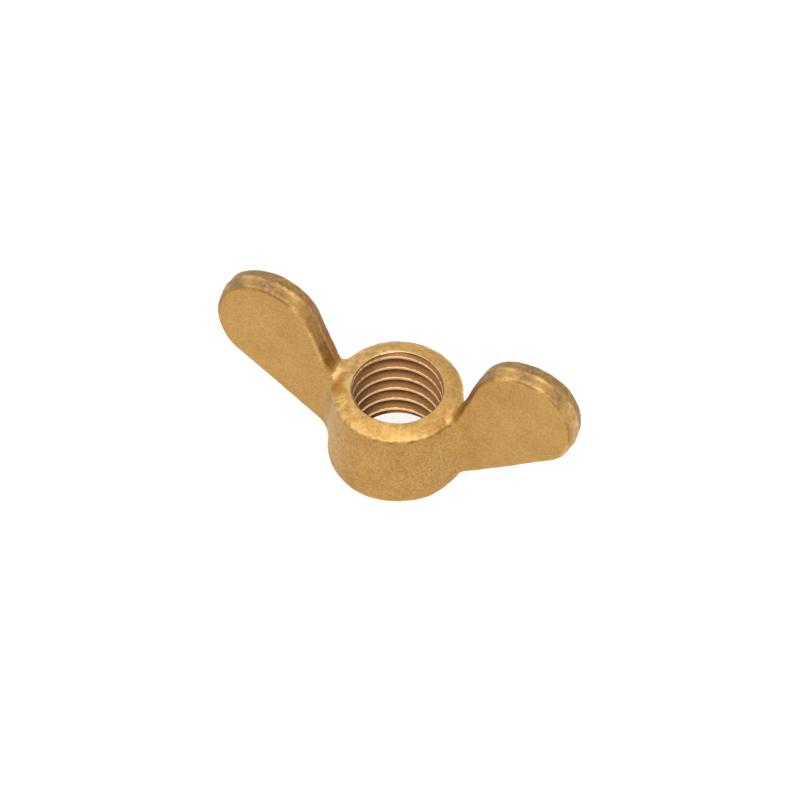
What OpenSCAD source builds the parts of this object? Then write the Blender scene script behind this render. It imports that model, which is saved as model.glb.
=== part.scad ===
// Wing nut with an M10 right-hand coarse thread, hot forged in brass.
// Frame: +Z is the thread axis and the base face lies on z = 0.
// The two wings reach along +X and -X. All sizes are in millimetres.

/* [Thread] */
// Nominal thread diameter, measured across the groove roots
thread_d = 10; // [6:0.5:12]
// Distance between neighbouring turns
thread_pitch = 1.5; // [1:0.25:1.75]
// Depth of the groove, from the crest to the root
thread_depth = 0.6; // [0.4:0.05:0.75]
// Width of the countersink at the base face, beyond the bore's radius
base_sink = 0.25; // [0.1:0.05:0.8]
// Width of the countersink at the top, beyond the bore's radius
top_sink = 0.2; // [0.1:0.05:0.5]

/* [Hub] */
// Metal between the groove roots and the hub's outside, at the top
hub_wall = 1.15; // [1:0.05:3]
// How much further out the hub's outside is at the base than at the top
hub_draft = 0.55; // [0:0.05:1]
// Height of the hub from the base face to the top, at the bore
hub_h = 9; // [7:0.1:12]
// How far the domed top falls from the bore to the outer rim
crown_drop = 0.6; // [0.2:0.05:1]
// Radius of the rounded edge round the base face
base_edge_r = 0.35; // [0.1:0.05:0.6]

/* [Wings] */
// Distance across the tips of both wings
wing_span = 36.5; // [30:0.1:50]
// Height of the wing tops above the base face
wing_top = 17.7; // [14:0.1:26]
// Radius of the round lobe at the end of each wing
lobe_r = 5.1; // [3.6:0.1:6.2]
// Radius of the lobe's lower outside corner
belly_r = 4.5; // [2.5:0.1:5.4]
// How far the belly's centre lies below the lobe's centre
belly_drop = 1.35; // [0:0.05:2]
// How far the belly's centre lies outside the lobe's centre
belly_shift = 0.55; // [0:0.05:0.7]
// Height where the lower edge starts, in the middle of the hub wall
foot_z = 0.1; // [0.1:0.05:2]
// How far below the hub's top the inner edge starts, in the middle of the hub wall
neck_drop = 1.7; // [1.3:0.1:4]

/* [Wing section] */
// Thickness of each wing between its two flat faces
wing_t = 2.6; // [1.6:0.1:3.4]
// Width of the bevel on each flat face, all round the edge
bevel_face = 0.4; // [0.2:0.05:0.8]
// Depth of the bevel across the thickness
bevel_depth = 0.5; // [0.2:0.05:0.7]
// How far the forging's parting line stands out of the edge
parting_rise = 0.06; // [0.02:0.01:0.2]
// Width of the parting line
parting_w = 0.3; // [0.1:0.05:0.4]
// Radius of the blend between the hub and each wing face
root_r = 1.4; // [0.6:0.1:2]

/* [Hidden] */
$fn = 96;
brass = "#C79E5B";
past_end = 1;
sliver = 0.05;

root_radius = thread_d / 2;
bore_r = root_radius - thread_depth;
hub_top_r = root_radius + hub_wall;
hub_base_r = hub_top_r + hub_draft;
crown_w = hub_top_r - bore_r;
crown_r = (pow(crown_w, 2) + pow(crown_drop, 2)) / (2 * crown_drop);

// Thread form: 60 degree flanks and a root flat of an eighth of the pitch
flank_slope = tan(30);
root_half = thread_pitch / 16;
steps_per_turn = 36;
cut_from = bore_r - 0.3;
cut_half = root_half + (root_radius - cut_from) * flank_slope;
cut_start = -thread_pitch;
cut_turns = (hub_h + 2 * thread_pitch) / thread_pitch;
cut_steps = ceil(cut_turns * steps_per_turn);

// Wing outline: the centres of its two rounds, and its root inside the hub wall
lobe_x = wing_span / 2 - lobe_r;
lobe_z = wing_top - lobe_r;
belly_x = lobe_x + belly_shift;
belly_z = lobe_z - belly_drop;
root_x = root_radius + hub_wall / 2;
neck_z = hub_h - neck_drop;

// Blend circle that touches the hub's outside and one flat face of the wing
blend_y = wing_t / 2 + root_r;
blend_x = sqrt(pow(hub_top_r + root_r, 2) - pow(blend_y, 2));

// What the domed top leaves out of the hub's half section
module above_crown() {
    difference() {
        translate([bore_r, hub_h - 2 * crown_drop])
            square([crown_w + past_end, 2 * crown_drop + past_end]);
        translate([bore_r, hub_h - crown_r]) circle(r = crown_r);
    }
}

// The hub's half section: tapered wall, domed top and rounded base edge
module hub_section() {
    difference() {
        polygon([
            [0, 0],
            [hub_base_r - base_edge_r, 0],
            [hub_base_r, base_edge_r],
            [hub_top_r, hub_h],
            [0, hub_h]
        ]);
        above_crown();
    }
    translate([hub_base_r - base_edge_r, base_edge_r]) circle(r = base_edge_r);
}

module hub_blank() {
    rotate_extrude() hub_section();
}

// A slab of the wing's outline, inset all round and with its own thickness
module wing_slab(inset, slab_t) {
    rotate([90, 0, 0]) translate([0, 0, -slab_t / 2]) {
        translate([lobe_x, lobe_z]) cylinder(r = lobe_r - inset, h = slab_t, $fn = 64);
        translate([belly_x, belly_z]) cylinder(r = belly_r - inset, h = slab_t, $fn = 64);
        translate([root_x, foot_z + inset]) cube([sliver, neck_z - foot_z - 2 * inset, slab_t]);
    }
}

// One wing along +X: flat faces, bevelled edges and a thin parting line
module wing_plate() {
    hull() {
        wing_slab(parting_rise + bevel_face, wing_t);
        wing_slab(parting_rise, wing_t - 2 * bevel_depth);
    }
    hull() wing_slab(0, parting_w);
}

// Concave blends that run up the corner between the hub and both wing faces
module root_blend() {
    intersection() {
        hull() wing_slab(parting_rise + bevel_face, 2 * blend_y);
        linear_extrude(hub_h - crown_drop) difference() {
            polygon([[0, 0], [blend_x, -blend_y], [blend_x, blend_y]]);
            for (side = [-1, 1]) {
                translate([blend_x, side * blend_y]) circle(r = root_r);
            }
        }
    }
}

// Plain bore across the crests, with a countersink at each end
module bore() {
    translate([0, 0, -past_end]) cylinder(r = bore_r, h = hub_h + 2 * past_end);
    translate([0, 0, -past_end])
        cylinder(r1 = bore_r + base_sink + past_end, r2 = bore_r, h = base_sink + past_end);
    translate([0, 0, hub_h - top_sink])
        cylinder(r1 = bore_r, r2 = bore_r + top_sink + past_end, h = top_sink + past_end);
}

// Corners of the groove's section, as [radius, height above its middle]
groove_section = [
    [cut_from, -cut_half],
    [root_radius, -root_half],
    [root_radius, root_half],
    [cut_from, cut_half]
];

// One corner of the section, turned and lifted along the right-hand helix
function groove_point(corner, step) =
    let (turn = step / steps_per_turn, angle = 360 * turn)
    [
        corner.x * cos(angle),
        corner.x * sin(angle),
        cut_start + turn * thread_pitch + corner.y
    ];

// The thread's groove, swept past both ends of the hub
module thread_groove() {
    corners = len(groove_section);
    last = cut_steps * corners;
    points = [for (step = [0 : cut_steps]) for (corner = groove_section) groove_point(corner, step)];
    sides = [
        for (step = [0 : cut_steps - 1])
            for (k = [0 : corners - 1])
                let (a = step * corners + k, b = step * corners + (k + 1) % corners)
                    [a, b, b + corners, a + corners]
    ];
    first_cap = [for (k = [corners - 1 : -1 : 0]) k];
    last_cap = [for (k = [0 : corners - 1]) last + k];
    polyhedron(points = points, faces = concat(sides, [first_cap, last_cap]), convexity = 12);
}

module wing_nut() {
    color(brass) difference() {
        union() {
            hub_blank();
            for (turn = [0, 180]) rotate(turn) {
                wing_plate();
                root_blend();
            }
        }
        bore();
        thread_groove();
    }
}

wing_nut();
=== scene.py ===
"""Looks of a hot forged brass wing nut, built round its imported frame.

The nut is one solid piece, so it is one visual piece: the forged blank is grown from a
smooth field of distances, and then faced, countersunk and tapped as the real one is.
Lengths are in millimetres in the classes, and in metres on every Blender object.
"""

import logging
import math
from collections.abc import Callable
from dataclasses import dataclass, field
from enum import Enum

import bpy
import numpy as np
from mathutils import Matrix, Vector

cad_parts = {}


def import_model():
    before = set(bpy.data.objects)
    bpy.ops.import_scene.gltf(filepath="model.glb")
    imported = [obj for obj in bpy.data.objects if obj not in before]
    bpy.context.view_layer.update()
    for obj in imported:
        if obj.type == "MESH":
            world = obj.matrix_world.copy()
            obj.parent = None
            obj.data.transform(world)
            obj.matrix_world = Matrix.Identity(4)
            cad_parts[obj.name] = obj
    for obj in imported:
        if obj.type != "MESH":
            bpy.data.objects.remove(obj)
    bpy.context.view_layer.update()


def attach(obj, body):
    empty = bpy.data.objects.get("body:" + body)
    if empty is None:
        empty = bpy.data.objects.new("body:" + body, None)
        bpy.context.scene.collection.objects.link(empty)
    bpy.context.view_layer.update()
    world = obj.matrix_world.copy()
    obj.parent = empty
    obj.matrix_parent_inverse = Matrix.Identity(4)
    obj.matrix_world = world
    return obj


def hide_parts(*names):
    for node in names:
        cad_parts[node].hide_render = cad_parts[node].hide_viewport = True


LOG = logging.getLogger("wing_nut")
MM = 0.001
Array = np.ndarray

# A field takes x, y and z in millimetres and gives signed distances, below 0 inside.
FieldFunction = Callable[[Array, Array, Array], Array]

# Sockets of a colour mix node, which shares their names with its other kinds of mix.
MIX_SHARE, MIX_FIRST, MIX_SECOND, MIX_RESULT = 0, 6, 7, 2


# ---- small tools


def linear(hex_colour: str) -> tuple[float, float, float, float]:
    """Turns an sRGB hex colour to linear.

    Args:
        hex_colour: Six hex digits after a hash sign.

    Returns:
        Linear red, green and blue, and an alpha of 1.
    """
    parts = [int(hex_colour[i : i + 2], 16) / 255 for i in (1, 3, 5)]
    lit = [c / 12.92 if c <= 0.04045 else ((c + 0.055) / 1.055) ** 2.4 for c in parts]
    return (lit[0], lit[1], lit[2], 1.0)


def per_metre(size_mm: float) -> float:
    """Returns the texture scale at which one feature is size_mm wide."""
    return 1.0 / (size_mm * MM)


def smoothstep(low: float, high: float, value: Array) -> Array:
    """Returns 0 below low, 1 above high and a smooth ramp between them."""
    t = np.clip((value - low) / (high - low), 0.0, 1.0)
    return t * t * (3.0 - 2.0 * t)


def smooth_union(a: Array, b: Array, reach: Array | float) -> Array:
    """Joins two distance fields with a concave blend.

    Args:
        a: First field.
        b: Second field.
        reach: How far from the corner the blend starts, in millimetres.

    Returns:
        The joined field.
    """
    near = np.maximum(reach - np.abs(a - b), 0.0) / reach
    return np.minimum(a, b) - near * near * reach * 0.25


def round_cut(a: Array, b: Array, radius: float) -> Array:
    """Intersects two distance fields and rounds the edge between them.

    Args:
        a: First field.
        b: Second field.
        radius: Radius of the rounded edge, in millimetres.

    Returns:
        The intersected field.
    """
    u = a + radius
    v = b + radius
    outside = np.hypot(np.maximum(u, 0.0), np.maximum(v, 0.0))
    return np.minimum(np.maximum(u, v), 0.0) + outside - radius


def new_object(name: str, verts: Array, faces: list | Array) -> bpy.types.Object:
    """Makes a mesh object from points in millimetres.

    Args:
        name: Name of the object and its mesh.
        verts: Points, one row each, in millimetres.
        faces: Vertex indices of each face.

    Returns:
        The new object, linked to the scene.
    """
    mesh = bpy.data.meshes.new(name)
    rows = faces.tolist() if isinstance(faces, np.ndarray) else faces
    mesh.from_pydata((np.asarray(verts) * MM).tolist(), [], rows)
    mesh.validate()
    made = bpy.data.objects.new(name, mesh)
    bpy.context.scene.collection.objects.link(made)
    return made


def add_node(
    tree: bpy.types.NodeTree,
    kind: str,
    settings: dict | None = None,
    inputs: dict | None = None,
) -> bpy.types.Node:
    """Adds one node with its settings and links.

    Args:
        tree: The node tree that gets it.
        kind: Blender's identifier of the node type.
        settings: Node properties by name.
        inputs: Input sockets by name or index, each with a value or a socket to link from.

    Returns:
        The new node.
    """
    made = tree.nodes.new(kind)
    for name, value in (settings or {}).items():
        setattr(made, name, value)
    for key, value in (inputs or {}).items():
        if isinstance(value, bpy.types.NodeSocket):
            tree.links.new(value, made.inputs[key])
        else:
            made.inputs[key].default_value = value
    return made


def new_material(name: str) -> tuple[bpy.types.Material, bpy.types.NodeTree]:
    """Makes an empty node material.

    Args:

    Returns:
        The material and its node tree.
    """
    made = bpy.data.materials.new(name)
    made.use_nodes = True
    made.node_tree.nodes.clear()
    return made, made.node_tree


# ---- finishes


class Finish(Enum):
    """The surfaces that making the nut leaves on it, in the order of its material slots."""

    FORGED = 0
    TURNED = 1
    TAPPED = 2


@dataclass(frozen=True)
class ForgedBrass:
    """Leaded brass, hot forged and then tumbled.

    The skin is a satin gold with a fine grain. Tumbling burnishes the edges to a pale
    gold; the same pale gold is also a painted highlight, on the rim's -X side and on the
    wings' edges to +X of each lobe and on their front half. A brown oxide stays in the
    corners that the tumbling stones can't reach, and the same brown also paints shade in
    the corners, under the rim's lip and along the wings' edges away from the light. The
    edges where the flash was trimmed are torn a little and have a mottled grey-brown
    tarnish, laid thicker as painted shade away from the painted highlight, and the hub's
    wall shows the grain of the die more than the wings do.

    Attributes:
        body: The skin's usual colour.
        pale: The skin's palest clouds.
        dull: The skin's darkest clouds.
        burnished: Metal that tumbling has rubbed bright, also used as a painted highlight.
        oxide: Oxide in the corners and in the grain's specks, also used as painted shade.
        tarnish: Film on the trimmed edges, thicker as painted shade away from the light.
        roughness: Roughness of the skin.
        rubbed_roughness: Roughness where it is rubbed bright.
        stain_and_shade_share: How far the oxide and the painted shade cover the deepest corners.
        cloud_mm: Width of the clouds.
        grain_mm: Width of the skin's grain. Real grain is finer: this is coarser, to show.
        grain_deep_mm: Depth of the grain.
        pit_mm: Width of the shallow dents.
        pit_deep_mm: Depth of the dents.
        tear_mm: Width of the trimming marks. Real ones are finer: these are coarser, to show.
        tear_deep_mm: Depth of the trimming marks.
    """

    name: str = "brass_hot_forged_tumbled"
    body: str = "#BE9756"
    pale: str = "#C39C5A"
    dull: str = "#B99050"
    burnished: str = "#EBC484"
    oxide: str = "#84501C"
    tarnish: str = "#8F6F4C"
    roughness: float = 0.46
    rubbed_roughness: float = 0.30
    stain_and_shade_share: float = 0.85
    cloud_mm: float = 3.2
    grain_mm: float = 0.24
    grain_deep_mm: float = 0.022
    pit_mm: float = 0.7
    pit_deep_mm: float = 0.02
    tear_mm: float = 0.45
    tear_deep_mm: float = 0.07

    def build(self) -> bpy.types.Material:
        """Makes the material.

        Returns:
            The finished material.
        """
        material, tree = new_material(self.name)
        place = add_node(tree, "ShaderNodeTexCoord").outputs["Object"]
        cloud, grain, pits = (
            add_node(
                tree,
                "ShaderNodeTexNoise",
                inputs={"Vector": place, "Scale": per_metre(size), "Detail": detail},
            ).outputs["Fac"]
            for size, detail in ((self.cloud_mm, 4.0), (self.grain_mm, 2.5), (self.pit_mm, 3.0))
        )
        masks = {
            mask: add_node(tree, "ShaderNodeAttribute", {"attribute_name": mask}).outputs["Fac"]
            for mask in ("wear_and_highlight", "recess_oxide_and_shade", "trimmed", "torn", "coarse")
        }

        clouds = add_node(tree, "ShaderNodeValToRGB", inputs={"Fac": cloud})
        ramp = clouds.color_ramp
        ramp.elements[0].position, ramp.elements[0].color = 0.32, linear(self.dull)
        ramp.elements[1].position, ramp.elements[1].color = 0.70, linear(self.pale)
        ramp.elements.new(0.50).color = linear(self.body)

        darkest = add_node(
            tree,
            "ShaderNodeMapRange",
            inputs={"Value": masks["coarse"], "To Min": 0.28, "To Max": 0.42},
        ).outputs["Result"]
        tears = add_node(
            tree,
            "ShaderNodeTexNoise",
            inputs={
                "Vector": place,
                "Scale": per_metre(self.tear_mm),
                "Detail": 5.0,
                "Roughness": 0.65,
            },
        ).outputs["Fac"]
        specks, mottle, broken = (
            add_node(
                tree,
                "ShaderNodeMapRange",
                inputs={
                    "Value": value,
                    "From Min": low,
                    "From Max": high,
                    "To Min": at_low,
                    "To Max": at_high,
                },
            ).outputs["Result"]
            for value, low, high, at_low, at_high in (
                (grain, 0.34, 0.60, darkest, 0.0),
                (tears, 0.40, 0.60, 0.35, 1.0),
                (pits, 0.36, 0.64, 0.05, 0.7),
            )
        )
        # These three shares carry painted light besides the real tarnish, oxide and wear: shade in
        # the corners and away from the light, and a highlight where the light falls.
        film_and_shade, stain_and_shade, rubbed = (
            add_node(
                tree,
                "ShaderNodeMath",
                {"operation": "MULTIPLY", "use_clamp": True},
                {0: masks[mask], 1: share},
            ).outputs[0]
            for mask, share in (("trimmed", mottle), ("recess_oxide_and_shade", self.stain_and_shade_share), ("wear_and_highlight", broken))
        )

        colour = clouds.outputs["Color"]
        for share, over in (
            (specks, self.oxide),
            (film_and_shade, self.tarnish),
            (stain_and_shade, self.oxide),
            (rubbed, self.burnished),
        ):
            colour = add_node(
                tree,
                "ShaderNodeMix",
                {"data_type": "RGBA"},
                {MIX_SHARE: share, MIX_FIRST: colour, MIX_SECOND: linear(over)},
            ).outputs[MIX_RESULT]
        rough = add_node(
            tree,
            "ShaderNodeMapRange",
            inputs={"Value": rubbed, "To Min": self.roughness, "To Max": self.rubbed_roughness},
        ).outputs["Result"]

        bumped = {}
        for height, strength, deep_mm in (
            (pits, 1.0, self.pit_deep_mm),
            (grain, 1.0, self.grain_deep_mm),
            (tears, masks["torn"], self.tear_deep_mm),
        ):
            inputs = {"Height": height, "Strength": strength, "Distance": deep_mm * MM, **bumped}
            bumped = {"Normal": add_node(tree, "ShaderNodeBump", inputs=inputs).outputs["Normal"]}
        shader = add_node(
            tree,
            "ShaderNodeBsdfPrincipled",
            inputs={"Base Color": colour, "Metallic": 1.0, "Roughness": rough, **bumped},
        )
        add_node(tree, "ShaderNodeOutputMaterial", inputs={"Surface": shader.outputs["BSDF"]})
        return material


@dataclass(frozen=True)
class TurnedBrass:
    """Brass faced on a lathe: paler and brighter than the skin, with fine round tool marks.

    Attributes:
        bright: Crests of the tool marks.
        shade: Hollows of the tool marks.
        roughness: Roughness of the faced metal.
        feed_mm: Distance between the marks. A real feed is finer: this is coarser, to show.
        feed_deep_mm: Depth of the marks.
        drift_mm: Width of the patches where the marks are stronger.
    """

    name: str = "brass_lathe_turned"
    bright: str = "#F0D3AC"
    shade: str = "#D9B183"
    roughness: float = 0.30
    feed_mm: float = 0.16
    feed_deep_mm: float = 0.012
    drift_mm: float = 2.0

    def build(self) -> bpy.types.Material:
        """Makes the material.

        Returns:
            The finished material.
        """
        material, tree = new_material(self.name)
        place = add_node(tree, "ShaderNodeTexCoord").outputs["Object"]
        flat = add_node(
            tree,
            "ShaderNodeVectorMath",
            {"operation": "MULTIPLY"},
            {0: place, 1: (1.0, 1.0, 0.0)},
        ).outputs["Vector"]
        radius = add_node(
            tree, "ShaderNodeVectorMath", {"operation": "LENGTH"}, {0: flat}
        ).outputs["Value"]
        marks = add_node(
            tree,
            "ShaderNodeTexNoise",
            {"noise_dimensions": "1D"},
            {"W": radius, "Scale": per_metre(self.feed_mm), "Detail": 3.0},
        ).outputs["Fac"]
        drift = add_node(
            tree,
            "ShaderNodeTexNoise",
            inputs={"Vector": place, "Scale": per_metre(self.drift_mm), "Detail": 3.0},
        ).outputs["Fac"]
        both = add_node(
            tree,
            "ShaderNodeMath",
            {"operation": "MULTIPLY_ADD", "use_clamp": True},
            {0: drift, 1: 0.35, 2: marks},
        ).outputs[0]
        colour = add_node(tree, "ShaderNodeValToRGB", inputs={"Fac": both})
        ramp = colour.color_ramp
        ramp.elements[0].position, ramp.elements[0].color = 0.45, linear(self.shade)
        ramp.elements[1].position, ramp.elements[1].color = 0.85, linear(self.bright)
        grooves = add_node(
            tree,
            "ShaderNodeBump",
            inputs={"Height": marks, "Strength": 1.0, "Distance": self.feed_deep_mm * MM},
        ).outputs["Normal"]
        shader = add_node(
            tree,
            "ShaderNodeBsdfPrincipled",
            inputs={
                "Base Color": colour.outputs["Color"],
                "Metallic": 1.0,
                "Roughness": self.roughness,
                "Normal": grooves,
            },
        )
        add_node(tree, "ShaderNodeOutputMaterial", inputs={"Surface": shader.outputs["BSDF"]})
        return material


@dataclass(frozen=True)
class TappedBrass:
    """Brass cut by a tap, with painted light: pale crests as a painted highlight over brown flanks
    and roots in painted shade.

    Attributes:
        crest: Crests of the thread, with a painted highlight.
        flank_shade: Flanks of the thread, in painted shade.
        root: Bottom of the groove, in painted shade.
        roughness: Roughness of the cut metal.
        tear_mm: Width of the tap's tears. Real ones are finer: these are coarser, to show.
        tear_deep_mm: Depth of the tears.
        wander: How far the colours' borders wander, as a share of the thread's depth.
    """

    name: str = "brass_tap_cut"
    crest: str = "#EAC192"
    flank_shade: str = "#885E38"
    root: str = "#926842"
    roughness: float = 0.40
    tear_mm: float = 0.3
    tear_deep_mm: float = 0.015
    wander: float = 0.04

    def build(self) -> bpy.types.Material:
        """Makes the material.

        Returns:
            The finished material.
        """
        material, tree = new_material(self.name)
        place = add_node(tree, "ShaderNodeTexCoord").outputs["Object"]
        depth = add_node(tree, "ShaderNodeAttribute", {"attribute_name": "depth"}).outputs["Fac"]
        tears = add_node(
            tree,
            "ShaderNodeTexNoise",
            inputs={"Vector": place, "Scale": per_metre(self.tear_mm), "Detail": 3.0},
        ).outputs["Fac"]
        wander = add_node(
            tree,
            "ShaderNodeMapRange",
            inputs={
                "Value": tears,
                "From Min": 0.3,
                "From Max": 0.7,
                "To Min": -self.wander,
                "To Max": self.wander,
            },
        ).outputs["Result"]
        level = add_node(
            tree,
            "ShaderNodeMath",
            {"operation": "ADD", "use_clamp": True},
            {0: depth, 1: wander},
        ).outputs[0]
        # The ramp paints a highlight on the crests and shade on the flanks and roots.
        colour = add_node(tree, "ShaderNodeValToRGB", inputs={"Fac": level})
        ramp = colour.color_ramp
        ramp.elements[0].position, ramp.elements[0].color = 0.02, linear(self.crest)
        ramp.elements[1].position, ramp.elements[1].color = 0.85, linear(self.root)
        ramp.elements.new(0.10).color = linear(self.flank_shade)
        scratches = add_node(
            tree,
            "ShaderNodeBump",
            inputs={"Height": tears, "Strength": 1.0, "Distance": self.tear_deep_mm * MM},
        ).outputs["Normal"]
        shader = add_node(
            tree,
            "ShaderNodeBsdfPrincipled",
            inputs={
                "Base Color": colour.outputs["Color"],
                "Metallic": 1.0,
                "Roughness": self.roughness,
                "Normal": scratches,
            },
        )
        add_node(tree, "ShaderNodeOutputMaterial", inputs={"Surface": shader.outputs["BSDF"]})
        return material


@dataclass(frozen=True)
class OpalAcrylic:
    """Opal acrylic table lit from below: pale and even, so that shadows on it stay faint.

    Attributes:
        sheet: Colour of the sheet.
        light: Colour of the light below it.
        glow: Strength of that light.
        roughness: Roughness of the sheet.
    """

    name: str = "acrylic_opal_backlit"
    sheet: str = "#8C8C8B"
    light: str = "#FFFEFD"
    glow: float = 0.80
    roughness: float = 0.9

    def build(self) -> bpy.types.Material:
        """Makes the material.

        Returns:
            The finished material.
        """
        material, tree = new_material(self.name)
        shader = add_node(
            tree,
            "ShaderNodeBsdfPrincipled",
            inputs={
                "Base Color": linear(self.sheet),
                "Roughness": self.roughness,
                "Emission Color": linear(self.light),
                "Emission Strength": self.glow,
            },
        )
        add_node(tree, "ShaderNodeOutputMaterial", inputs={"Surface": shader.outputs["BSDF"]})
        return material


# ---- meshing


@dataclass
class FieldMesher:
    """Turns a field of distances into a closed mesh of small quads.

    Attributes:
        step: Side of one cell, in millimetres.
        settle_steps: How many times each vertex is moved onto the surface.
        least_slope: Squared slope that a move is reckoned with at least, where fields meet.
    """

    step: float = 0.16
    settle_steps: int = 3
    least_slope: float = 0.2

    def mesh(self, shape: FieldFunction, low: Array, high: Array) -> tuple[Array, Array]:
        """Meshes the surface where the field is zero.

        Args:
            shape: The field.
            low: Lowest corner of the box to search, in millimetres.
            high: Highest corner of the box to search, in millimetres.

        Returns:
            The points in millimetres and the quads.
        """
        axes = [np.arange(a, b + self.step, self.step) for a, b in zip(low, high)]
        x = axes[0][:, None, None]
        y = axes[1][None, :, None]
        z = axes[2][None, None, :]
        values = shape(x, y, z)
        inside = values < 0
        cells, verts = self._cell_points(values, inside)
        points = np.stack([axes[i][0] + verts[:, i] * self.step for i in range(3)], axis=1)
        quads = self._quads(inside, cells)
        return self._settle(shape, points), quads

    def _cell_points(self, values: Array, inside: Array) -> tuple[Array, Array]:
        """Places one vertex in each cell that the surface crosses.

        Args:
            values: Distances at the grid's corners.
            inside: Whether each corner is in the solid.

        Returns:
            A grid with each cell's vertex number, and the vertices in cell units.
        """
        size = tuple(n - 1 for n in values.shape)
        corners = [(i, j, k) for i in (0, 1) for j in (0, 1) for k in (0, 1)]
        count = np.zeros(size, np.int8)
        for i, j, k in corners:
            count += inside[i : i + size[0], j : j + size[1], k : k + size[2]]
        at = np.argwhere((count > 0) & (count < 8))
        total = np.zeros((len(at), 3))
        hits = np.zeros(len(at))
        for first in corners:
            for axis in range(3):
                if first[axis]:
                    continue
                second = tuple(c + (n == axis) for n, c in enumerate(first))
                a = values[tuple((at + first).T)]
                b = values[tuple((at + second).T)]
                crossed = (a < 0) != (b < 0)
                share = np.where(crossed, a / np.where(crossed, a - b, 1.0), 0.0)
                point = np.array(first, float)[None, :] + np.eye(3)[axis] * share[:, None]
                total += point * crossed[:, None]
                hits += crossed
        cells = np.full(size, -1, np.int64)
        cells[tuple(at.T)] = np.arange(len(at))
        return cells, at + total / hits[:, None]

    def _quads(self, inside: Array, cells: Array) -> Array:
        """Joins the four cells round each crossed grid edge.

        Args:
            inside: Whether each corner is in the solid.
            cells: A grid with each cell's vertex number.

        Returns:
            The quads, with their normals out of the solid.
        """
        quads = []
        for axis in range(3):
            u, v = (axis + 1) % 3, (axis + 2) % 3
            lower = np.take(inside, range(inside.shape[axis] - 1), axis)
            upper = np.take(inside, range(1, inside.shape[axis]), axis)
            at = np.argwhere(lower != upper)
            at = at[(at[:, u] > 0) & (at[:, v] > 0)]
            at = at[(at[:, u] < cells.shape[u]) & (at[:, v] < cells.shape[v])]
            leaves = lower[tuple(at.T)]
            step_u, step_v = np.eye(3, dtype=int)[u], np.eye(3, dtype=int)[v]
            ring = [at - step_u - step_v, at - step_v, at, at - step_u]
            ids = np.stack([cells[tuple(cell.T)] for cell in ring], axis=1)
            quads.append(np.where(leaves[:, None], ids, ids[:, ::-1]))
        return np.concatenate(quads)

    def _settle(self, shape: FieldFunction, points: Array) -> Array:
        """Moves the points onto the surface along the field's slope.

        Args:
            shape: The field.
            points: The points in millimetres.

        Returns:
            The moved points.
        """
        for _ in range(self.settle_steps):
            here = shape(*points.T)
            slope = self.slope(shape, points)
            size = np.maximum((slope**2).sum(1), self.least_slope)
            move = -here[:, None] * slope / size[:, None]
            points = points + np.clip(move, -self.step, self.step)
        return points

    @staticmethod
    def slope(shape: FieldFunction, points: Array, reach: float = 0.02) -> Array:
        """Returns the field's slope at each point.

        Args:
            shape: The field.
            points: The points in millimetres.
            reach: Half the distance between the two samples on each axis.

        Returns:
            One slope vector for each point.
        """
        columns = []
        for axis in range(3):
            shift = np.zeros(3)
            shift[axis] = reach
            rise = shape(*(points + shift).T) - shape(*(points - shift).T)
            columns.append(rise / (2 * reach))
        return np.stack(columns, axis=1)

    @staticmethod
    def bend(shape: FieldFunction, points: Array, reach: float) -> Array:
        """Returns how the surface bends: above 0 on edges and below 0 in corners.

        Args:
            shape: The field.
            points: The points in millimetres.
            reach: Distance to the six samples round each point.

        Returns:
            One number for each point, in 1/mm.
        """
        total = -6 * shape(*points.T)
        for axis in range(3):
            shift = np.zeros(3)
            shift[axis] = reach
            total += shape(*(points + shift).T) + shape(*(points - shift).T)
        return total / reach**2


@dataclass
class Ripple:
    """A smooth random field: a sum of plane waves with seeded directions.

    Attributes:
        seed: Seed of the random numbers.
        length_mm: Typical distance between crests.
        height_mm: Typical height of the crests.
        count: Number of waves.
    """

    seed: int
    length_mm: float
    height_mm: float
    count: int = 14

    def __post_init__(self) -> None:
        """Draws the waves once, so that every call gives the same field."""
        rng = np.random.default_rng(self.seed)
        way = rng.normal(size=(self.count, 3))
        way /= np.linalg.norm(way, axis=1, keepdims=True)
        size = self.length_mm * rng.uniform(0.7, 1.5, self.count)
        self.waves = way * (2 * math.pi / size)[:, None]
        self.phases = rng.uniform(0, 2 * math.pi, self.count)

    def __call__(self, x: Array, y: Array, z: Array) -> Array:
        """Works out the field.

        Args:
            x: Places along X.
            y: Places along Y.
            z: Places along Z.

        Returns:
            The field at those places.
        """
        total = 0.0
        for (kx, ky, kz), phase in zip(self.waves, self.phases):
            total = total + np.sin(kx * x + ky * y + kz * z + phase)
        return total * (self.height_mm * math.sqrt(2 / self.count))


# ---- the nut


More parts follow.
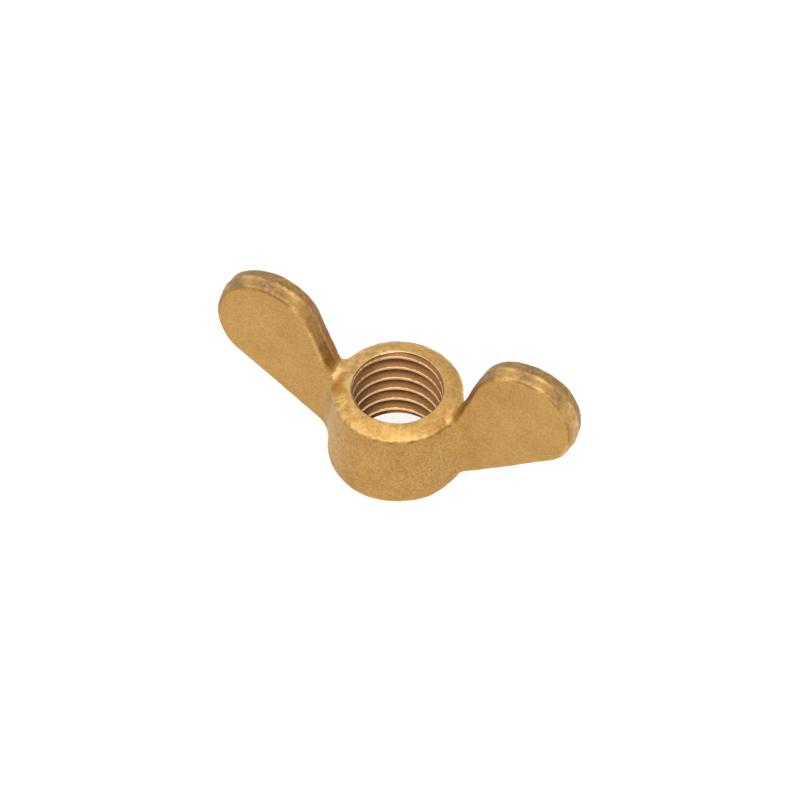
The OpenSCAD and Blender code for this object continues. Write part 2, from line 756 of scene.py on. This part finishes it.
@dataclass
class Hub:
    """The tapered hub, without its bore.

    Attributes:
        base_r: Radius at the base face.
        top_r: Radius of the tapered wall, carried on to the top.
        height: Height of the top above the base face, at the bore.
        crown_from: Radius where the domed top starts to fall.
        crown_drop: How far the dome falls from there to the rim.
        rim_r: Radius of the rim's corner.
        base_edge_r: Radius of the rounded edge round the base face.
        lip_drop: How far below the top land the rim's lip ends.
        lip_rise: How far the lip stands out over the wall below it.
        lip_wander: How far the lip's lower edge wanders up and down.
        lip_soft: Half the height over which the lip fades into the wall.
    """

    base_r: float = 6.70
    top_r: float = 6.15
    height: float = 9.0
    crown_from: float = 4.4
    crown_drop: float = 0.6
    rim_r: float = 0.12
    base_edge_r: float = 0.35
    lip_drop: float = 0.74
    lip_rise: float = 0.05
    lip_wander: float = 0.05
    lip_soft: float = 0.08

    def __post_init__(self) -> None:
        """Draws the raggedness of the lip."""
        self.ragged = Ripple(seed=3, length_mm=0.7, height_mm=1.0, count=18)

    def field(self, x: Array, y: Array, z: Array) -> Array:
        """Works out the hub's wall and top, which run on below the base.

        Args:
            x: Places along X.
            y: Places along Y.
            z: Heights above the base face.

        Returns:
            The signed distances, below 0 inside.
        """
        draft = math.atan2(self.base_r - self.top_r, self.height)
        radius = np.hypot(x, y)
        ragged = self.ragged(x, y, z)
        above = z - self.height + self.lip_drop + self.lip_wander * ragged
        lip = smoothstep(-self.lip_soft, self.lip_soft, above)
        lip = self.lip_rise * (1.0 + 0.3 * ragged) * lip
        wall = (radius - self.base_r) * math.cos(draft) + z * math.sin(draft)
        wall = wall + self.lip_rise - lip
        width = self.top_r - self.crown_from
        crown_r = (width**2 + self.crown_drop**2) / (2 * self.crown_drop)
        out = np.maximum(radius - self.crown_from, 0.0)
        crown = np.hypot(out, np.maximum(z - self.height + crown_r, 0.0)) - crown_r
        return round_cut(wall, crown, self.rim_r)


@dataclass
class Wing:
    """One wing of the forged blank, on the +X side.

    Attributes:
        span: Distance across the tips of both wings.
        top: Height of the wing's top above the base face.
        lobe_r: Radius of the round lobe.
        belly_r: Radius of the lobe's lower outside corner.
        belly_drop: How far the belly's centre lies below the lobe's.
        belly_shift: How far the belly's centre lies outside the lobe's.
        tip_r: Radius of the flatter tip between the lobe and the belly.
        root_x: Where the wing's edges start, inside the hub wall.
        foot_z: Height where the lower edge starts.
        neck_z: Height where the inner edge starts.
        thick: Thickness between the two flat faces.
        edge_r: Radius between a flat face and the edge.
        edge_draft: Slope of the edge from the parting line to each face, in degrees.
        parting_rise: How far the parting line stands out.
        parting_w: Width of the parting line.
        parting_r: Radius of the parting line's edges.
    """

    span: float = 36.5
    top: float = 17.7
    lobe_r: float = 5.1
    belly_r: float = 4.5
    belly_drop: float = 1.35
    belly_shift: float = 0.55
    tip_r: float = 6.5
    root_x: float = 5.575
    foot_z: float = 0.1
    neck_z: float = 7.3
    thick: float = 2.6
    edge_r: float = 0.4
    edge_draft: float = 5.5
    parting_rise: float = 0.035
    parting_w: float = 0.3
    parting_r: float = 0.06

    def outline(self, x: Array, z: Array) -> Array:
        """Returns the distance from the wing's outline, seen along Y.

        Args:
            x: Distance from the thread's axis.
            z: Height above the base face.

        Returns:
            The signed distance, below 0 inside.
        """
        from_lobe = np.array([self.belly_shift, -self.belly_drop])
        tip = self._tip_centre(from_lobe)
        lobe = np.array([self.span / 2 - self.tip_r - tip[0], self.top - self.lobe_r])
        belly = lobe + from_lobe
        low = self._touch(np.array([self.root_x, self.foot_z]), belly, self.belly_r, -1)
        neck = self._touch(np.array([self.root_x, self.neck_z]), lobe, self.lobe_r, 1)
        first = math.atan2(*(from_lobe - tip)[::-1])
        last = math.atan2(*(-tip)[::-1])
        arcs = [
            (belly, self.belly_r, low - math.pi / 2, first),
            (lobe + tip, self.tip_r, first, last),
            (lobe, self.lobe_r, last, neck + math.pi / 2),
        ]
        return np.maximum.reduce([self._arc(x, z, *arc) for arc in arcs])

    def _tip_centre(self, belly: Array) -> Array:
        """Returns the centre of the arc that joins belly and lobe without a corner.

        Args:
            belly: The belly's centre, from the lobe's centre.

        Returns:
            The arc's centre, from the lobe's centre.
        """
        to_belly = self.tip_r - self.belly_r
        to_lobe = self.tip_r - self.lobe_r
        apart = math.hypot(*belly)
        along = (to_lobe**2 - to_belly**2 + apart**2) / (2 * apart)
        aside = math.sqrt(to_lobe**2 - along**2)
        way = belly / apart
        return way * along + np.array([way[1], -way[0]]) * aside

    @staticmethod
    def _touch(start: Array, centre: Array, radius: float, side: int) -> float:
        """Returns the direction of the line from start that touches a circle on one side."""
        way = centre - start
        return math.atan2(way[1], way[0]) + side * math.asin(radius / math.hypot(*way))

    @staticmethod
    def _arc(x: Array, z: Array, centre: Array, radius: float, first: float, last: float) -> Array:
        """Returns the distance from an arc that runs on along its two end tangents.

        Args:
            x: Distance from the thread's axis.
            z: Height above the base face.
            centre: Centre of the arc.
            radius: Radius of the arc.
            first: Direction of the arc's first point from its centre.
            last: Direction of the arc's last point from its centre.

        Returns:
            The signed distance, below 0 inside.
        """
        dx = x - centre[0]
        dz = z - centre[1]
        middle = (first + last) / 2
        turn = np.arctan2(dz, dx) - middle
        turn = (turn + math.pi) % (2 * math.pi) - math.pi
        half = (last - first) / 2
        off = turn - np.clip(turn, -half, half)
        return np.hypot(dx, dz) * np.cos(off) - radius

    def field(self, x: Array, y: Array, z: Array) -> Array:
        """Works out the wing with its drafted edges and its parting line.

        Args:
            x: Places along X.
            y: Places along Y.
            z: Heights above the base face.

        Returns:
            The signed distances, below 0 inside.
        """
        edge = self.outline(x, z)
        slope = math.radians(self.edge_draft)
        across = np.abs(y)
        drafted = (edge + self.parting_rise) * math.cos(slope) + across * math.sin(slope)
        plate = round_cut(drafted, across - self.thick / 2, self.edge_r)
        ridge = round_cut(edge, across - self.parting_w / 2, self.parting_r)
        return smooth_union(plate, ridge, 2 * self.parting_r)


@dataclass
class Thread:
    """The tapped thread, right-handed.

    Attributes:
        root_r: Radius at the bottom of the grooves.
        crest_r: Radius of the bore across the crests.
        pitch: Distance between neighbouring turns.
        mouth_r: Radius that the groove closes in to at the bore's ends, which are burred over.
        mouth_edge: Distance from a bore's end where the groove has closed in.
        mouth_deep: Length beyond that over which it closes in.
        sides: Number of steps round one turn.
    """

    root_r: float = 5.0
    crest_r: float = 4.19
    pitch: float = 1.5
    mouth_r: float = 4.24
    mouth_edge: float = 0.1
    mouth_deep: float = 0.5
    sides: int = 120

    def profile(self) -> list[tuple[float, float]]:
        """Draws one turn's section, with 60 degree flanks.

        Returns:
            Height and radius of each corner, upwards.
        """
        root_half = self.pitch / 9
        crest_half = root_half + (self.root_r - self.crest_r) * math.tan(math.radians(30))
        upper = [
            (
                crest_half + (root_half - crest_half) * share,
                self.crest_r + (self.root_r - self.crest_r) * share,
            )
            for share in (0.0, 0.33, 0.67, 1.0)
        ]
        return [(-height, radius) for height, radius in upper] + upper[::-1]

    def tap(self, low: float, high: float, mouth: float) -> bpy.types.Object:
        """Makes the solid that a tap sweeps out.

        Args:
            low: Height where the swept solid starts.
            high: Height that the swept solid reaches.
            mouth: Height of the bore's mouth.

        Returns:
            A closed mesh object.
        """
        section = self.profile()
        turns = math.ceil((high - low) / self.pitch) + 1
        verts = []
        for turn in range(turns + 1):
            for height, radius in section:
                for step in range(self.sides):
                    angle = 2 * math.pi * step / self.sides
                    z = low + (turn + step / self.sides) * self.pitch + height
                    from_end = min(z, mouth - z) - self.mouth_edge
                    open_share = min(max(from_end / self.mouth_deep, 0.0), 1.0)
                    reach = min(radius, self.mouth_r + (self.root_r - self.mouth_r) * open_share)
                    verts.append((reach * math.cos(angle), reach * math.sin(angle), z))
        rows = (turns + 1) * len(section)
        faces = []
        for row in range(rows - len(section) - 1):
            for step in range(self.sides):
                here = row * self.sides + step
                turn_start = (row + len(section)) * self.sides
                beside = here + 1 if step + 1 < self.sides else turn_start
                faces.append((here, beside, beside + self.sides, here + self.sides))
        first = list(range(self.sides))
        first += [row * self.sides for row in range(len(section), 0, -1)]
        last_row = rows - len(section) - 1
        last = [last_row * self.sides + step for step in range(self.sides)]
        last += [(last_row + n) * self.sides for n in range(len(section), 0, -1)]
        ends = [(first, low - self.pitch, True), (last, high + 3 * self.pitch, False)]
        for loop, end_z, flip in ends:
            centre = len(verts)
            verts.append((0.0, 0.0, end_z))
            for a, b in zip(loop, loop[1:] + loop[:1]):
                faces.append((b, a, centre) if flip else (a, b, centre))
        return new_object("tap", np.array(verts), faces)


@dataclass
class WingNut:
    """The whole nut: a forged blank that is faced, countersunk and tapped.

    Attributes:
        hub: The hub's sizes.
        wing: The sizes of one wing.
        thread: The thread's sizes.
        face_blend: Reach of the blend between the hub and the wing faces.
        neck_blend: Reach of the blend at the rim, between the hub and the inner edge.
        foot_blend: Reach of the blend at the base, between the hub and the lower edge.
        base_sink: Width of the countersink at the base face.
        top_sink: Width of the countersink at the top land.
        bearing_r: Outer radius of the faced ring on the base.
        thread_start: Height where a groove's middle crosses the X axis.
        tumbled: Depth that tumbling takes off the whole skin.
        sharp_deg: Edges that turn by more than this stay sharp, in degrees.
    """

    hub: Hub = field(default_factory=Hub)
    wing: Wing = field(default_factory=Wing)
    thread: Thread = field(default_factory=Thread)
    face_blend: float = 2.0
    neck_blend: float = 1.1
    foot_blend: float = 1.2
    base_sink: float = 0.18
    top_sink: float = 0.24
    bearing_r: float = 6.3
    thread_start: float = 1.0
    tumbled: float = 0.03
    sharp_deg: float = 32.0

    def __post_init__(self) -> None:
        """Draws the unevenness that the forging dies and the tumbling leave."""
        self.sway = Ripple(seed=5, length_mm=5.5, height_mm=0.022)
        self.dimple = Ripple(seed=8, length_mm=1.6, height_mm=0.008, count=24)
        self.patch = Ripple(seed=12, length_mm=3.5, height_mm=1.0, count=16)

    def blank(self, x: Array, y: Array, z: Array) -> Array:
        """Works out the forged blank, before any tool has cut it.

        Args:
            x: Places along X.
            y: Places along Y.
            z: Heights above the base face.

        Returns:
            The signed distances, below 0 inside.
        """
        side = np.abs(x)
        hub = self.hub.field(x, y, z)
        plate = self.wing.field(side, y, z)
        wing = np.maximum(plate, self.wing.root_x - side)
        near_rim = smoothstep(self.hub.height - 2.4, self.hub.height - 0.4, z)
        near_foot = smoothstep(4.5, 1.5, z)
        reach = self.face_blend + (self.neck_blend - self.face_blend) * near_rim
        reach = reach + (self.foot_blend - self.face_blend) * near_foot
        rough = self.sway(x, y, z) + self.dimple(x, y, z)
        forged = smooth_union(hub, wing, reach) + rough + self.tumbled
        return round_cut(forged, -z, self.hub.base_edge_r)

    @staticmethod
    def lathe(
        name: str, section: list[tuple[float, float]], sides: int = 192
    ) -> bpy.types.Object:
        """Makes a closed turned solid.

        Args:
            name: Name of the object.
            section: Radius and height of each corner, from the axis at the bottom to the top.
            sides: Number of steps round the axis.

        Returns:
            A closed mesh object.
        """
        inner = section[1:-1]
        verts = [(0.0, 0.0, section[0][1])]
        for radius, height in inner:
            for step in range(sides):
                angle = 2 * math.pi * step / sides
                verts.append((radius * math.cos(angle), radius * math.sin(angle), height))
        verts.append((0.0, 0.0, section[-1][1]))
        top = 1 + (len(inner) - 1) * sides
        faces = []
        for step in range(sides):
            after = (step + 1) % sides
            faces.append((0, 1 + after, 1 + step))
            faces.append((len(verts) - 1, top + step, top + after))
            for row in range(len(inner) - 1):
                a = 1 + row * sides
                faces.append((a + step, a + after, a + sides + after, a + sides + step))
        return new_object(name, np.array(verts), faces)

    def cutters(self) -> list[bpy.types.Object]:
        """Makes the tools that machine the blank.

        Returns:
            The tools, in the order of their use.
        """
        crest, pitch = self.thread.crest_r, self.thread.pitch
        high = self.hub.height
        # The drill's cones run on past both ends, so that they cut the faces cleanly.
        below, above = 0.9, 1.0
        drill = [
            (0, -below),
            (crest + self.base_sink + below, -below),
            (crest, self.base_sink),
            (crest, high - self.top_sink),
            (crest + self.top_sink + above, high + above),
            (0, high + above),
        ]
        return [
            self.lathe("countersink", drill),
            self.thread.tap(self.thread_start - 2 * pitch, high + pitch, high),
        ]

    def build(self) -> bpy.types.Object:
        """Makes the nut's mesh.

        Returns:
            The nut, as one closed mesh object.
        """
        spare = 0.5
        high = np.array([self.wing.span / 2, self.hub.base_r, self.wing.top]) + spare
        low = high * [-1, -1, 0] - [0, 0, spare]
        points, quads = FieldMesher().mesh(self.blank, low, high)
        nut = new_object("wing_nut_brass", points, quads)
        for tool in self.cutters():
            cut = nut.modifiers.new(tool.name, "BOOLEAN")
            cut.operation = "DIFFERENCE"
            cut.solver = "MANIFOLD"
            cut.object = tool
            bpy.context.view_layer.objects.active = nut
            bpy.ops.object.modifier_apply(modifier=cut.name)
            bpy.data.objects.remove(tool)
        return nut

    def dress(self, nut: bpy.types.Object) -> None:
        """Gives each surface its finish and the masks that the finishes read.

        Args:
            nut: The nut's object.
        """
        mesh = nut.data
        mesh.materials.clear()
        for finish in (ForgedBrass(), TurnedBrass(), TappedBrass()):
            mesh.materials.append(finish.build())
        points = np.empty(len(mesh.vertices) * 3)
        mesh.vertices.foreach_get("co", points)
        points = points.reshape(-1, 3) / MM
        radius = np.hypot(points[:, 0], points[:, 1])
        front = points[:, 1] < 0
        bend = FieldMesher.bend(self.blank, points, 0.3)
        thread = self.thread
        depth = (radius - thread.crest_r) / (thread.root_r - thread.crest_r)
        # The domed top is rubbed all round, and a painted highlight makes it brightest on its -X
        # side.
        top = smoothstep(1.0, 0.7, self.hub.height - points[:, 2])
        on_rim = top * (radius < self.hub.top_r + 0.8)
        rub_and_highlight = 0.3 + 0.65 * smoothstep(0.5, -5.0, points[:, 0])
        land = top * (radius < self.hub.top_r) * rub_and_highlight
        # Along the wings' edges the rubbed patches also paint a highlight: most of it lies to +X of
        # each lobe's middle, where the light falls.
        lobe_x = np.sign(points[:, 0]) * (self.wing.span / 2 - self.wing.lobe_r)
        light_side = np.clip((points[:, 0] - lobe_x) / self.wing.lobe_r, -1, 1)
        patch = smoothstep(-0.8, 0.8, 0.6 * self.patch(*points.T) + 0.8 * light_side)
        edges = smoothstep(0.5, 3.0, bend) * np.where(radius > self.hub.base_r, patch, 1.0)
        trimmed = self.trimmed(points)
        # The trimmed edges' front half gets more of the painted highlight.
        edges = np.maximum(edges, 0.5 * trimmed * patch * front)
        shelter_and_shade = self.sheltered_and_shaded(points, patch)
        masks = {
            # The first mask is wear plus painted highlight; the second is corner oxide plus painted
            # shade.
            "wear_and_highlight": np.maximum(edges, land) * (1 - shelter_and_shade),
            "recess_oxide_and_shade": np.maximum(smoothstep(0.9, 2.2, -bend) * (1 - on_rim), shelter_and_shade),
            # The tarnish film is thinner where the painted highlight lies, which leaves painted
            # shade on the rest of the trimmed edges.
            "trimmed": trimmed * (1.1 - 0.9 * patch * front),
            "torn": np.maximum(trimmed, 0.5 * land * front),
            "coarse": smoothstep(self.hub.base_r + 1.5, self.hub.base_r, radius),
            # This sets where the tapped surface gets the crests' painted highlight and the grooves'
            # painted shade.
            "depth": np.clip(depth, 0.0, 1.0) * self.below_mouth(points),
        }
        for name, values in masks.items():
            layer = mesh.attributes.new(name, "FLOAT", "POINT")
            layer.data.foreach_set("value", values.astype(np.float32))
        self._sort_faces(mesh)
        mesh.shade_smooth()
        mesh.set_sharp_from_angle(angle=math.radians(self.sharp_deg))

    def sheltered_and_shaded(self, points: Array, patch: Array) -> Array:
        """Returns how far each point is out of the tumbling stones' reach or in painted shade.

        Args:
            points: The points in millimetres.
            patch: Where tumbling rubbed the edges and the painted highlight lies, from 0 for hardly
                to 1 for fully.

        Returns:
            0 in the open, and up to 1 where oxide lies in the wings' necks over the hub, where
            oxide and painted shade lie under the rim's lip, and where painted shade lies along the
            wings' edges away from the light.
        """
        side, above = np.abs(points[:, 0]), points[:, 2] - self.hub.height
        inside = self.wing.outline(side, points[:, 2])
        over_hub = smoothstep(0.2, 1.2, above)
        near = smoothstep(12.0, 7.0, side) * over_hub * (inside > -0.35)
        # Painted shade along the wings' edges, where the painted highlight is weak.
        crease = smoothstep(0.12, 0.02, np.abs(inside + self.wing.edge_r))
        crease = crease * (side > self.hub.base_r) * smoothstep(0.6, 0.2, patch) * over_hub
        # Oxide and painted shade under the rim's lip.
        under_lip = np.abs(above + self.hub.lip_drop + 0.08)
        radius = np.hypot(points[:, 0], points[:, 1])
        lip = smoothstep(0.18, 0.06, under_lip) * (np.abs(radius - self.hub.top_r) < 0.2)
        ragged = smoothstep(-0.9, 0.5, self.hub.ragged(*points.T))
        return np.maximum.reduce([0.5 * near, 0.8 * crease, 0.9 * lip * ragged])

    def trimmed(self, points: Array) -> Array:
        """Finds the wings' edges, where the flash was trimmed.

        Args:
            points: The points in millimetres.

        Returns:
            1 on the edges and 0 on the wings' faces and the hub.
        """
        side = np.abs(points[:, 0])
        edge = smoothstep(-0.40, -0.22, self.wing.outline(side, points[:, 2]))
        above_foot = smoothstep(1.0, 4.0, points[:, 2])
        return edge * above_foot * smoothstep(self.hub.base_r, self.hub.base_r + 0.8, side)

    def below_mouth(self, points: Array) -> Array:
        """Returns 0 at the bore's burred mouth, which gets the crests' painted highlight, and 1
        below it.
        """
        return smoothstep(0.09, 0.20, self.hub.height - points[:, 2])

    def _sort_faces(self, mesh: bpy.types.Mesh) -> None:
        """Puts each face in the slot of the tool that cut it.

        Args:
            mesh: The nut's mesh.
        """
        count = len(mesh.polygons)
        centres = np.empty(count * 3)
        normals = np.empty(count * 3)
        mesh.polygons.foreach_get("center", centres)
        mesh.polygons.foreach_get("normal", normals)
        centres = centres.reshape(-1, 3) / MM
        normals = normals.reshape(-1, 3)
        radius = np.hypot(centres[:, 0], centres[:, 1])
        inward = (centres[:, :2] * normals[:, :2]).sum(1) / np.maximum(radius, 1e-6)
        slots = np.full(count, Finish.FORGED.value, np.int32)
        height = centres[:, 2]
        in_bore = (radius < self.thread.root_r + 0.01) & (height < self.hub.height + 0.1)
        cut = in_bore & ((inward < -0.05) | (height < self.hub.height - 0.3))
        slots[cut & (height > 0.02)] = Finish.TAPPED.value
        faced = (normals[:, 2] < -0.6) & (height < self.base_sink) & (radius < self.bearing_r)
        slots[faced] = Finish.TURNED.value
        mesh.polygons.foreach_set("material_index", slots)


# ---- the studio


@dataclass
class Studio:
    """The backlit table, the soft light and the camera.

    Attributes:
        azimuth: Turn of the camera round the nut, in degrees.
        elevation: Height of the camera over the horizon, in degrees.
        distance: Distance from the camera to the nut, in millimetres.
        view_w: Width of the view at the nut, in millimetres.
        aim: Where the view's middle lies, right of and above the thread's foot.
        table_half: Half the side of the table, in millimetres.
        light_distance: Distance from each softbox to the nut, in millimetres.
        room_glow: Strength of the room's even light.
    """

    azimuth: float = 25.2
    elevation: float = 50.2
    distance: float = 400.0
    view_w: float = 75.6
    aim: tuple[float, float] = (0.24, 4.55)
    table_half: float = 1500.0
    light_distance: float = 420.0
    room_glow: float = 1.0

    @staticmethod
    def _way(azimuth: float, elevation: float) -> Vector:
        """Returns the direction from the nut to a place round it.

        Args:
            azimuth: Turn round the nut from the -Y side, in degrees.
            elevation: Height over the horizon, in degrees.

        Returns:
            The direction, of length 1.
        """
        turn = math.radians(azimuth)
        tilt = math.radians(elevation)
        across = math.cos(tilt)
        return Vector((math.sin(turn) * across, -math.cos(turn) * across, math.sin(tilt)))

    def _axes(self) -> tuple[Vector, Vector, Vector]:
        """Works out how the camera is turned.

        Returns:
            Its right, up and backward directions.
        """
        turn = math.radians(self.azimuth)
        right = Vector((math.cos(turn), math.sin(turn), 0.0))
        back = self._way(self.azimuth, self.elevation)
        return right, back.cross(right), back

    def camera(self) -> None:
        """Makes the camera."""
        right, up, back = self._axes()
        data = bpy.data.cameras.new("camera")
        data.sensor_width = 36.0
        data.lens = data.sensor_width * self.distance / self.view_w
        data.clip_start = 0.01
        data.clip_end = 10.0
        made = bpy.data.objects.new("camera", data)
        target = right * self.aim[0] + up * self.aim[1]
        made.location = (target + back * self.distance) * MM
        made.rotation_euler = back.to_track_quat("Z", "Y").to_euler()
        bpy.context.scene.collection.objects.link(made)
        bpy.context.scene.camera = made

    def floor(self) -> None:
        """Makes the table that the nut stands on."""
        side = self.table_half
        corners = np.array([(-side, -side, 0), (side, -side, 0), (side, side, 0), (-side, side, 0)])
        table = new_object("table", corners, [(0, 1, 2, 3)])
        table.data.materials.append(OpalAcrylic().build())

    def softbox(
        self, name: str, azimuth: float, elevation: float, size: float, power: float
    ) -> None:
        """Makes one square soft light that faces the nut.

        Args:
            name: Name of the light.
            azimuth: Its direction, from the camera's azimuth, in degrees.
            elevation: Its height over the horizon, in degrees.
            size: Side of the square, in millimetres.
            power: Its power, in watts.
        """
        way = self._way(self.azimuth + azimuth, elevation)
        data = bpy.data.lights.new(name, "AREA")
        data.shape = "SQUARE"
        data.size = size * MM
        data.energy = power
        made = bpy.data.objects.new(name, data)
        made.location = way * self.light_distance * MM
        made.rotation_euler = way.to_track_quat("Z", "Y").to_euler()
        bpy.context.scene.collection.objects.link(made)

    def light(self) -> None:
        """Makes the room's even glow and its two softboxes."""
        world = bpy.data.worlds.new("tent")
        world.use_nodes = True
        glow = world.node_tree.nodes["Background"]
        glow.inputs["Color"].default_value = (1.0, 1.0, 1.0, 1.0)
        glow.inputs["Strength"].default_value = self.room_glow
        bpy.context.scene.world = world
        self.softbox("overhead", -60, 78, 560, 0.85)
        self.softbox("right", 20, 55, 300, 0.36)
        bpy.context.scene.view_settings.view_transform = "Standard"


def main() -> None:
    logging.basicConfig(level=logging.INFO, format="%(name)s: %(message)s")
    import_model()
    studio = Studio()
    studio.camera()
    studio.floor()
    studio.light()
    LOG.info("studio ready")
    shape = WingNut()
    nut = shape.build()
    shape.dress(nut)
    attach(nut, "root")
    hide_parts("wing_nut")
    LOG.info("nut: %d vertices, %d faces", len(nut.data.vertices), len(nut.data.polygons))


if __name__ == "__main__":
    main()
